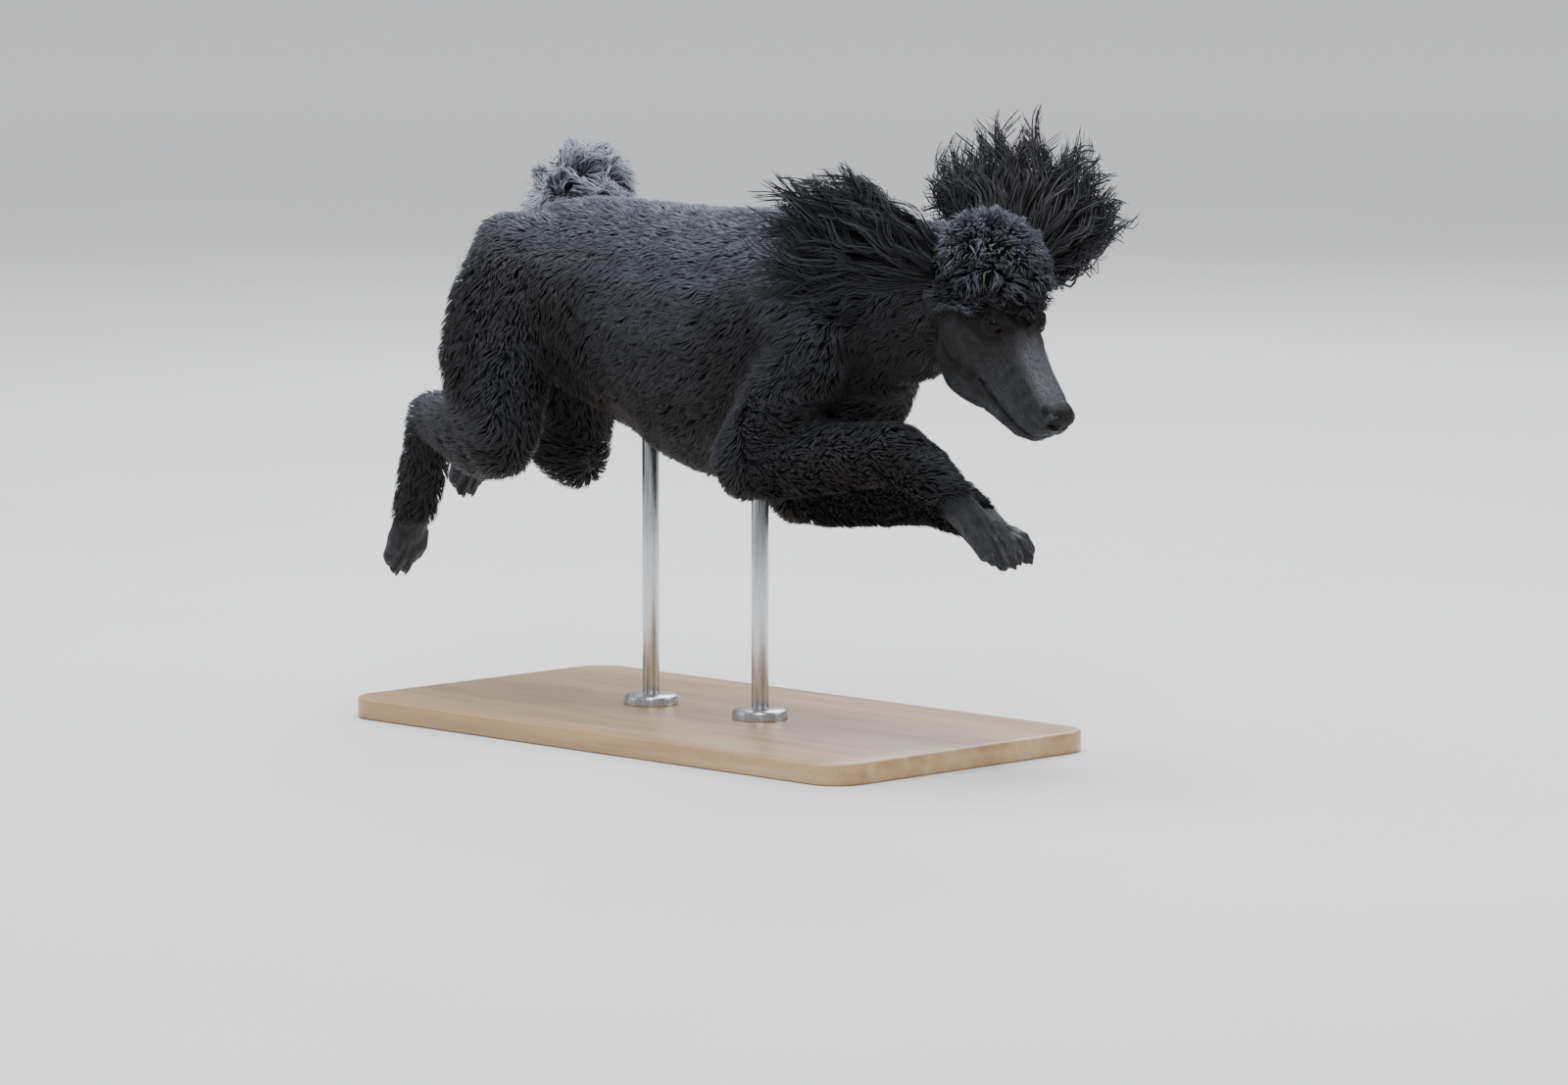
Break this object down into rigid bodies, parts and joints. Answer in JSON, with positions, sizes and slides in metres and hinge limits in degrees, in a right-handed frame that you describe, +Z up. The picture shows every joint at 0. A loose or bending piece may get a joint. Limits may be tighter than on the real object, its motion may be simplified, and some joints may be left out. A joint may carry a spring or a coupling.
{
  "type": "standard poodle on a stand",
  "caption": "Life-size black standard poodle in a short sporting clip, held mid-leap over a flat wooden stand by two short steel rods.",
  "frame": {"origin": "middle of the underside of the stand's base", "axes": "+X is the way the dog leaps, +Y its left side, +Z up"},
  "size_m": [0.9024, 0.34, 0.5807],
  "materials": {
    "coat": "dense curly black dog hair",
    "face_hair": "clipped black hair over dark skin",
    "nose_leather": "moist pebbled black skin",
    "eye": "wet dark brown",
    "pom_coat": "dense curly faded black hair",
    "base_wood": "satin lacquered beech",
    "rod_steel": "satin"
  },
  "bodies": {
    "root": {"torso": "coat", "neck": "coat", "upper_arm_right": "coat", "upper_arm_left": "coat", "forearm_right": "coat", "forearm_left": "coat", "thigh_right": "coat", "thigh_left": "coat", "shank_right": "coat", "shank_left": "coat", "rear_pastern_right": "coat", "rear_pastern_left": "coat", "topknot": "coat", "ear_right": "coat", "ear_left": "coat", "tail": "coat", "head": "face_hair", "front_paw_right": "face_hair", "front_paw_left": "face_hair", "hind_paw_right": "face_hair", "hind_paw_left": "face_hair", "nose": "nose_leather", "eye_right": "eye", "eye_left": "eye", "tail_pom": "pom_coat", "stand_base": "base_wood", "stand_rod_front": "rod_steel", "stand_rod_rear": "rod_steel", "stand_collar_front": "rod_steel", "stand_collar_rear": "rod_steel"}
  },
  "joints": []
}
